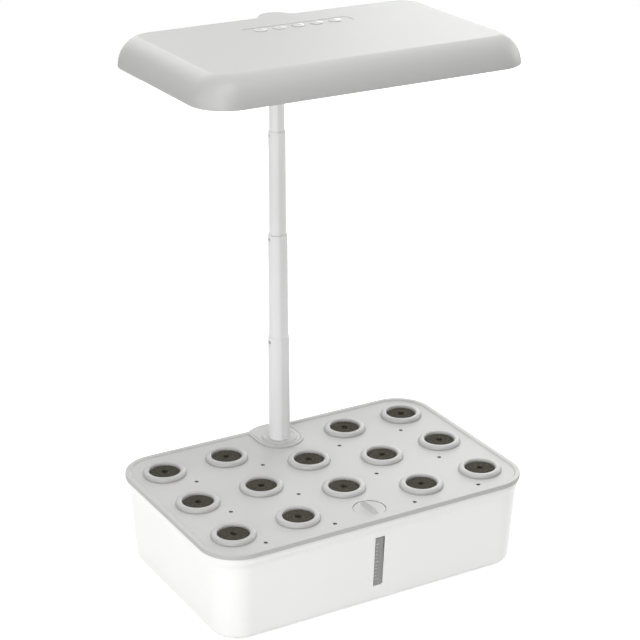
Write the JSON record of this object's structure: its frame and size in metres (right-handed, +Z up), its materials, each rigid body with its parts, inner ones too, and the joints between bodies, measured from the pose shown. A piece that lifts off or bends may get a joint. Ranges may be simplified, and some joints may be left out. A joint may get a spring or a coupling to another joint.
{
  "type": "countertop hydroponic garden",
  "caption": "Water tank with a lift-off planting deck, pod baskets, a fill cap, a telescoping mast and a flat grow lamp with buttons.",
  "frame": {"origin": "on the table, under the middle of the footprint", "axes": "+Z up; -Y is the front with the water window; the mast stands at the back (+Y); X runs along the long side"},
  "size_m": [0.3554, 0.2424, 0.5453],
  "materials": {
    "tank_shell": "white ABS, fine moulded satin",
    "deck_shell": "light grey ABS, fine moulded texture",
    "basket_ring": "light grey polypropylene, moulded",
    "sponge": "open-cell peat sponge",
    "mast_tube": "powder-coated tube, pale grey",
    "locking_pin": "blackened steel",
    "lamp_shell": "light grey ABS, satin",
    "button_cap": "light grey ABS, polished",
    "diffuser_sheet": "frosted acrylic",
    "circuit_board": "metal-core board under white solder mask",
    "led": "phosphor-coated diode",
    "control_circuit": "glass-epoxy board, green solder mask",
    "window": "smoke-grey polycarbonate",
    "seal_rubber": "moulded silicone rubber",
    "foot_rubber": "moulded rubber",
    "screw_steel": "zinc-plated steel",
    "inlet_plastic": "black nylon",
    "pump_plastic": "black ABS",
    "collar_plastic": "acetal"
  },
  "bodies": {
    "base": {"tank": "tank_shell", "tank_feet": "foot_rubber", "window_lens": "window", "window_gasket": "seal_rubber", "mast_socket": "deck_shell", "socket_screws": "screw_steel", "power_inlet": "inlet_plastic", "pump_body": "pump_plastic", "pump_filter": "pump_plastic", "mast_tube_1": "mast_tube"},
    "deck": {"deck": "deck_shell"},
    "cap_seal": {"cap_seal": "seal_rubber"},
    "fill_cap": {"fill_cap": "deck_shell"},
    "pod_1": {"basket_1": "basket_ring", "sponge_1": "sponge"},
    "pod_2": {"basket_2": "basket_ring", "sponge_2": "sponge"},
    "pod_3": {"basket_3": "basket_ring", "sponge_3": "sponge"},
    "pod_4": {"basket_4": "basket_ring", "sponge_4": "sponge"},
    "pod_5": {"basket_5": "basket_ring", "sponge_5": "sponge"},
    "pod_6": {"basket_6": "basket_ring", "sponge_6": "sponge"},
    "pod_7": {"basket_7": "basket_ring", "sponge_7": "sponge"},
    "pod_8": {"basket_8": "basket_ring", "sponge_8": "sponge"},
    "pod_9": {"basket_9": "basket_ring", "sponge_9": "sponge"},
    "pod_10": {"basket_10": "basket_ring", "sponge_10": "sponge"},
    "pod_11": {"basket_11": "basket_ring", "sponge_11": "sponge"},
    "pod_12": {"basket_12": "basket_ring", "sponge_12": "sponge"},
    "pod_13": {"basket_13": "basket_ring", "sponge_13": "sponge"},
    "pod_14": {"basket_14": "basket_ring", "sponge_14": "sponge"},
    "mast_2": {"mast_tube_2": "mast_tube"},
    "mast_3": {"mast_tube_3": "mast_tube"},
    "lamp": {"mast_tube_4": "mast_tube", "lamp_cover": "lamp_shell", "lamp_base": "lamp_shell", "lamp_screws": "screw_steel", "diffuser": "diffuser_sheet", "led_board": "circuit_board", "led_chips": "led", "control_board": "control_circuit", "mast_collar": "collar_plastic"},
    "pin_1": {"snap_pin_1": "locking_pin"},
    "pin_2": {"snap_pin_2": "locking_pin"},
    "pin_3": {"snap_pin_3": "locking_pin"},
    "button_1": {"button_1": "button_cap"},
    "button_2": {"button_2": "button_cap"},
    "button_3": {"button_3": "button_cap"},
    "button_4": {"button_4": "button_cap"},
    "button_5": {"button_5": "button_cap"}
  },
  "joints": [
    {"name": "deck_lift", "type": "slide", "parent": "base", "child": "deck", "axis": [0, 0, 1], "range_m": [0, 0.06]},
    {"name": "pod_1_lift", "type": "slide", "parent": "deck", "child": "pod_1", "axis": [0, 0, 1], "range_m": [0, 0.048]},
    {"name": "pod_2_lift", "type": "slide", "parent": "deck", "child": "pod_2", "axis": [0, 0, 1], "range_m": [0, 0.048]},
    {"name": "pod_3_lift", "type": "slide", "parent": "deck", "child": "pod_3", "axis": [0, 0, 1], "range_m": [0, 0.048]},
    {"name": "pod_4_lift", "type": "slide", "parent": "deck", "child": "pod_4", "axis": [0, 0, 1], "range_m": [0, 0.048]},
    {"name": "pod_5_lift", "type": "slide", "parent": "deck", "child": "pod_5", "axis": [0, 0, 1], "range_m": [0, 0.048]},
    {"name": "pod_6_lift", "type": "slide", "parent": "deck", "child": "pod_6", "axis": [0, 0, 1], "range_m": [0, 0.048]},
    {"name": "pod_7_lift", "type": "slide", "parent": "deck", "child": "pod_7", "axis": [0, 0, 1], "range_m": [0, 0.048]},
    {"name": "pod_8_lift", "type": "slide", "parent": "deck", "child": "pod_8", "axis": [0, 0, 1], "range_m": [0, 0.048]},
    {"name": "pod_9_lift", "type": "slide", "parent": "deck", "child": "pod_9", "axis": [0, 0, 1], "range_m": [0, 0.048]},
    {"name": "pod_10_lift", "type": "slide", "parent": "deck", "child": "pod_10", "axis": [0, 0, 1], "range_m": [0, 0.048]},
    {"name": "pod_11_lift", "type": "slide", "parent": "deck", "child": "pod_11", "axis": [0, 0, 1], "range_m": [0, 0.048]},
    {"name": "pod_12_lift", "type": "slide", "parent": "deck", "child": "pod_12", "axis": [0, 0, 1], "range_m": [0, 0.048]},
    {"name": "pod_13_lift", "type": "slide", "parent": "deck", "child": "pod_13", "axis": [0, 0, 1], "range_m": [0, 0.048]},
    {"name": "pod_14_lift", "type": "slide", "parent": "deck", "child": "pod_14", "axis": [0, 0, 1], "range_m": [0, 0.048]},
    {"name": "cap_lift", "type": "slide", "parent": "deck", "child": "cap_seal", "axis": [0, 0, 1], "range_m": [0, 0.03]},
    {"name": "cap_turn", "type": "hinge", "parent": "cap_seal", "child": "fill_cap", "pos_m": [0, -0.0943, 0.095], "axis": [0, 0, 1], "range_deg": [0, 90]},
    {"name": "mast_lower_slide", "type": "slide", "parent": "base", "child": "mast_2", "axis": [0, 0, 1], "range_m": [-0.105, 0]},
    {"name": "mast_middle_slide", "type": "slide", "parent": "mast_2", "child": "mast_3", "axis": [0, 0, 1], "range_m": [-0.088, 0]},
    {"name": "mast_upper_slide", "type": "slide", "parent": "mast_3", "child": "lamp", "axis": [0, 0, 1], "range_m": [-0.08, 0]},
    {"name": "pin_1_press", "type": "slide", "parent": "mast_2", "child": "pin_1", "axis": [1, 0, 0], "range_m": [0, 0.0012], "stiffness_N_per_m": 1500},
    {"name": "pin_2_press", "type": "slide", "parent": "mast_3", "child": "pin_2", "axis": [1, 0, 0], "range_m": [0, 0.0012], "stiffness_N_per_m": 1500},
    {"name": "pin_3_press", "type": "slide", "parent": "lamp", "child": "pin_3", "axis": [1, 0, 0], "range_m": [0, 0.0012], "stiffness_N_per_m": 1500},
    {"name": "button_1_press", "type": "slide", "parent": "lamp", "child": "button_1", "axis": [0, 0, -1], "range_m": [0, 0.0005], "stiffness_N_per_m": 2000},
    {"name": "button_2_press", "type": "slide", "parent": "lamp", "child": "button_2", "axis": [0, 0, -1], "range_m": [0, 0.0005], "stiffness_N_per_m": 2000},
    {"name": "button_3_press", "type": "slide", "parent": "lamp", "child": "button_3", "axis": [0, 0, -1], "range_m": [0, 0.0005], "stiffness_N_per_m": 2000},
    {"name": "button_4_press", "type": "slide", "parent": "lamp", "child": "button_4", "axis": [0, 0, -1], "range_m": [0, 0.0005], "stiffness_N_per_m": 2000},
    {"name": "button_5_press", "type": "slide", "parent": "lamp", "child": "button_5", "axis": [0, 0, -1], "range_m": [0, 0.0005], "stiffness_N_per_m": 2000}
  ]
}
